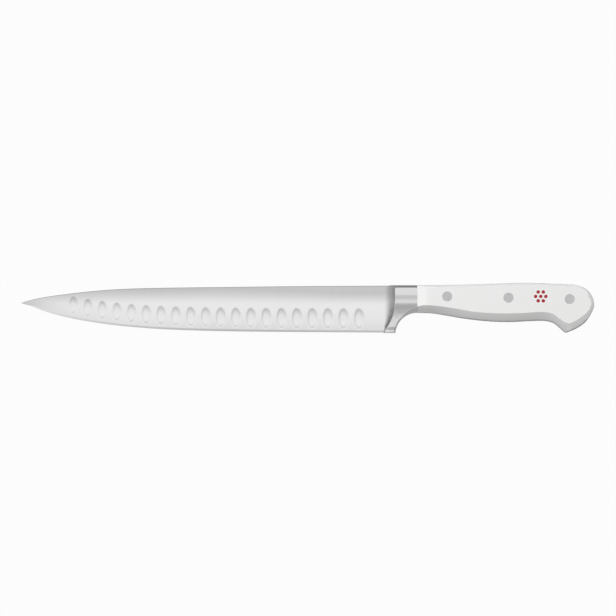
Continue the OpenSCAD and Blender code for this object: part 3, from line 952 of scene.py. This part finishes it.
class KNIFE_OT_scales(bpy.types.Operator):
    """Builds the two scales with their bevels, rolls and holes"""
    bl_idname = "knife.scales"
    bl_label = "Scales"

    def execute(self, context):
        material = scale_material()
        for name, inlay, side in (("left_grip", "inlay_disc", 1), ("right_grip", None, -1)):
            piece = scale_piece(name, inlay)
            if side < 0:
                edit_all()
                bpy.ops.transform.resize(value=(1, 1, -1), center_override=(0, 0, MID_Z))
                bpy.ops.object.mode_set(mode="OBJECT")
            finish_shell(piece, 32)
            bpy.ops.object.modifier_add(type="WEIGHTED_NORMAL")
            piece.modifiers[-1].keep_sharp = True
            apply_modifiers(piece)
            paint(piece, material)
            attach(piece, BODY)
            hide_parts("left_scale" if side > 0 else "right_scale")
        return {"FINISHED"}


class KNIFE_OT_fittings(bpy.types.Operator):
    """Gives the rivets and the inlay their finish"""
    bl_idname = "knife.fittings"
    bl_label = "Rivets and inlay"

    def execute(self, context):
        rivets = rivet_material()
        for name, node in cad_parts.items():
            if "rivet" in name:
                paint(node, rivets)
        paint(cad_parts["inlay_disc"], inlay_material())
        paint(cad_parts["inlay_dots"], dot_material())
        return {"FINISHED"}


def floor_material():
    """Pale table: white to the camera and in reflections, but it keeps the shadow."""
    material, s = new_shader("floor")
    camera, glossy = s.rays()
    grey = (FLOOR_GREY, FLOOR_GREY, FLOOR_GREY, 1)
    diffuse = s.node("ShaderNodeBsdfDiffuse", {}, {"Color": grey})
    white = s.node("ShaderNodeEmission", {}, {"Color": (1, 1, 1, 1), "Strength": 1.0})
    share = FLOOR_WHITE * camera + FLOOR_MIRRORED * glossy
    lit = s.node("ShaderNodeMixShader", {}, [share, diffuse, white])
    s.node("ShaderNodeOutputMaterial", {}, {"Surface": lit})
    return material


# The room that metal mirrors, from the floor's near side at y = -1 to the far side at y = 1,
# and from the tip's side at x = -1 to the butt's side at x = 1
ROOM_Y = [
    (-1.0, 0.4), (-0.9, 0.52), (-0.78, 0.72), (-0.7, 0.95), (-0.63, 1.06), (-0.55, 0.92), (-0.46, 0.76),
    (-0.4, 0.7), (-0.3, 0.6), (-0.22, 0.57), (-0.17, 0.66), (-0.13, 0.74), (-0.09, 0.85), (-0.068, 0.94),
    (-0.05, 1.03), (-0.03, 1.08), (0.035, 1.08), (0.06, 1.0), (0.085, 0.87), (0.12, 0.73), (0.16, 0.64),
    (0.2, 0.58), (0.3, 0.5), (0.5, 0.4), (0.7, 0.3), (1.0, 0.22),
]
ROOM_X = [
    (-1.0, 0.52), (-0.97, 0.55), (-0.88, 0.62), (-0.75, 0.7), (-0.6, 0.8), (-0.42, 0.89), (-0.24, 0.965),
    (-0.1, 1.0), (0.1, 1.0), (0.2, 0.91), (0.3, 0.84), (0.5, 0.74), (0.7, 0.6), (1.0, 0.5),
]


def sky():
    """Even light from all round; metal mirrors the room, and the camera sees white."""
    studio = bpy.context.scene.knife_studio
    world = bpy.data.worlds.new("studio")
    bpy.context.scene.world = world
    world.use_nodes = True
    s = Shader(world.node_tree)
    camera, glossy = s.rays()
    spot = s.node("ShaderNodeTexCoord", out="Generated")
    x, y, z = (s.node("ShaderNodeSeparateXYZ", {}, [spot], out=axis) for axis in "XYZ")
    across, along = (
        s.node("ShaderNodeValToRGB", {"ramp": [((p + 1) / 2, c) for p, c in room]}, [0.5 * way + 0.5])
        for room, way in ((ROOM_Y, y), (ROOM_X, x)))
    level = studio.sky_strength * (SKY_LOW + (1 - SKY_LOW) * z.maths("MAXIMUM", z, 0.0))
    level = level * (1 - glossy) + across * along * glossy
    level = level * (1 - camera) + camera
    background = s.node("ShaderNodeBackground", {}, {"Color": (1, 1, 1, 1), "Strength": level})
    s.node("ShaderNodeOutputWorld", {}, {"Surface": background})


class KNIFE_OT_stage(bpy.types.Operator):
    """Sets the table, the light and the camera"""
    bl_idname = "knife.stage"
    bl_label = "Studio"

    def execute(self, context):
        studio = context.scene.knife_studio
        select_none()
        bpy.ops.mesh.primitive_grid_add(
            x_subdivisions=8, y_subdivisions=8, size=FLOOR_W, location=(0, 0, FLOOR_Z))
        floor = context.object
        floor.name = "floor"
        bpy.ops.object.transform_apply(location=True)
        paint(floor, floor_material())
        sky()
        bpy.ops.object.light_add(type="AREA", location=KEY_FROM * KEY_AWAY)
        key = context.object
        key.name = "key"
        key.data.shape = "DISK"
        key.data.size = KEY_W
        key.data.energy = studio.key_energy
        key.rotation_euler = (-KEY_FROM).to_track_quat("-Z", "Y").to_euler()
        key.visible_glossy = False
        height = MID_Z + VIEW_W * studio.lens / SENSOR_W
        bpy.ops.object.camera_add(location=(VIEW_X, VIEW_Y, height), rotation=(0, 0, 0))
        camera = context.object
        camera.name = "camera"
        camera.data.lens = studio.lens
        camera.data.sensor_width = SENSOR_W
        camera.data.clip_end = 20
        context.scene.camera = camera
        context.scene.view_settings.view_transform = "Standard"
        return {"FINISHED"}


class KNIFE_PT_parts(bpy.types.Panel):
    """Lists what builds the knife"""
    bl_label = "Slicing knife"
    bl_idname = "KNIFE_PT_parts"
    bl_space_type = "VIEW_3D"
    bl_region_type = "UI"
    bl_category = "Knife"

    def draw(self, context):
        for group in sizes():
            box = self.layout.box()
            for key in group.__annotations__:
                box.prop(group, key)
        for operator in OPERATORS:
            self.layout.operator(operator.bl_idname)


OPERATORS = (KNIFE_OT_blade, KNIFE_OT_tang, KNIFE_OT_scales, KNIFE_OT_fittings, KNIFE_OT_stage)
CLASSES = (BladeSizes, HandleSizes, StudioSizes, *OPERATORS, KNIFE_PT_parts)


def register():
    for cls in CLASSES:
        bpy.utils.register_class(cls)
    bpy.types.Scene.knife_blade = PointerProperty(type=BladeSizes)
    bpy.types.Scene.knife_handle = PointerProperty(type=HandleSizes)
    bpy.types.Scene.knife_studio = PointerProperty(type=StudioSizes)


def unregister():
    del bpy.types.Scene.knife_blade
    del bpy.types.Scene.knife_handle
    del bpy.types.Scene.knife_studio
    for cls in reversed(CLASSES):
        bpy.utils.unregister_class(cls)


def main():
    register()
    bpy.ops.knife.blade()
    bpy.ops.knife.tang()
    bpy.ops.knife.scales()
    bpy.ops.knife.fittings()
    bpy.ops.knife.stage()


if __name__ == "__main__":
    main()
